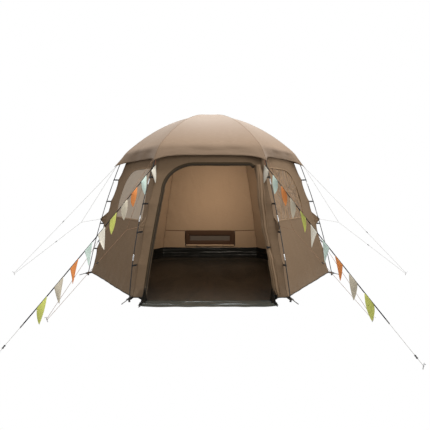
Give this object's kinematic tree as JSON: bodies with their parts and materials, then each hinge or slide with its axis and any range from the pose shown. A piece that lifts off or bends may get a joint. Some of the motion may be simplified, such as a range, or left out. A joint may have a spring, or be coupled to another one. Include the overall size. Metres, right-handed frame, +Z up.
{
  "type": "yurt tent",
  "caption": "Six-sided yurt tent with bowed outside poles, a flat domed roof, two windows, a tied-back door, guy lines and two pennant lines.",
  "frame": {"origin": "middle of the floor's underside, at ground level", "axes": "+Z up; the doorway faces -Y; +X is to the right for someone facing the door"},
  "size_m": [6.4472, 6.58, 2.615],
  "materials": {
    "canvas": "matte coated tent cloth",
    "roof_canvas": "matte coated tent cloth",
    "groundsheet": "coated groundsheet cloth, slightly shiny",
    "window_film": "clear flexible film",
    "vent_mesh": "insect mesh",
    "pole_rod": "satin glass-fibre rod",
    "black_plastic": "moulded plastic and webbing",
    "guy_line": "braided line",
    "pennant_cloth": "plain woven pennants on black tape"
  },
  "bodies": {
    "root": {"groundsheet": "groundsheet", "front_wall": "canvas", "front_right_wall": "canvas", "back_right_wall": "canvas", "back_wall": "canvas", "back_left_wall": "canvas", "front_left_wall": "canvas", "window_left": "window_film", "window_right": "window_film", "back_vent_mesh": "vent_mesh", "back_vent_cover": "canvas", "door_panel": "canvas", "roof_panel_front": "roof_canvas", "roof_panel_front_right": "roof_canvas", "roof_panel_back_right": "roof_canvas", "roof_panel_back": "roof_canvas", "roof_panel_back_left": "roof_canvas", "roof_panel_front_left": "roof_canvas", "roof_hub": "black_plastic", "leg_pole_front_left": "pole_rod", "roof_pole_front_left": "pole_rod", "corner_foot_front_left": "black_plastic", "guy_lines_front_left": "guy_line", "leg_pole_front_right": "pole_rod", "roof_pole_front_right": "pole_rod", "corner_foot_front_right": "black_plastic", "guy_lines_front_right": "guy_line", "leg_pole_right": "pole_rod", "roof_pole_right": "pole_rod", "corner_foot_right": "black_plastic", "guy_lines_right": "guy_line", "leg_pole_back_right": "pole_rod", "roof_pole_back_right": "pole_rod", "corner_foot_back_right": "black_plastic", "guy_lines_back_right": "guy_line", "leg_pole_back_left": "pole_rod", "roof_pole_back_left": "pole_rod", "corner_foot_back_left": "black_plastic", "guy_lines_back_left": "guy_line", "leg_pole_left": "pole_rod", "roof_pole_left": "pole_rod", "corner_foot_left": "black_plastic", "guy_lines_left": "guy_line", "pennant_line_left": "pennant_cloth", "pennant_line_right": "pennant_cloth"}
  },
  "joints": []
}
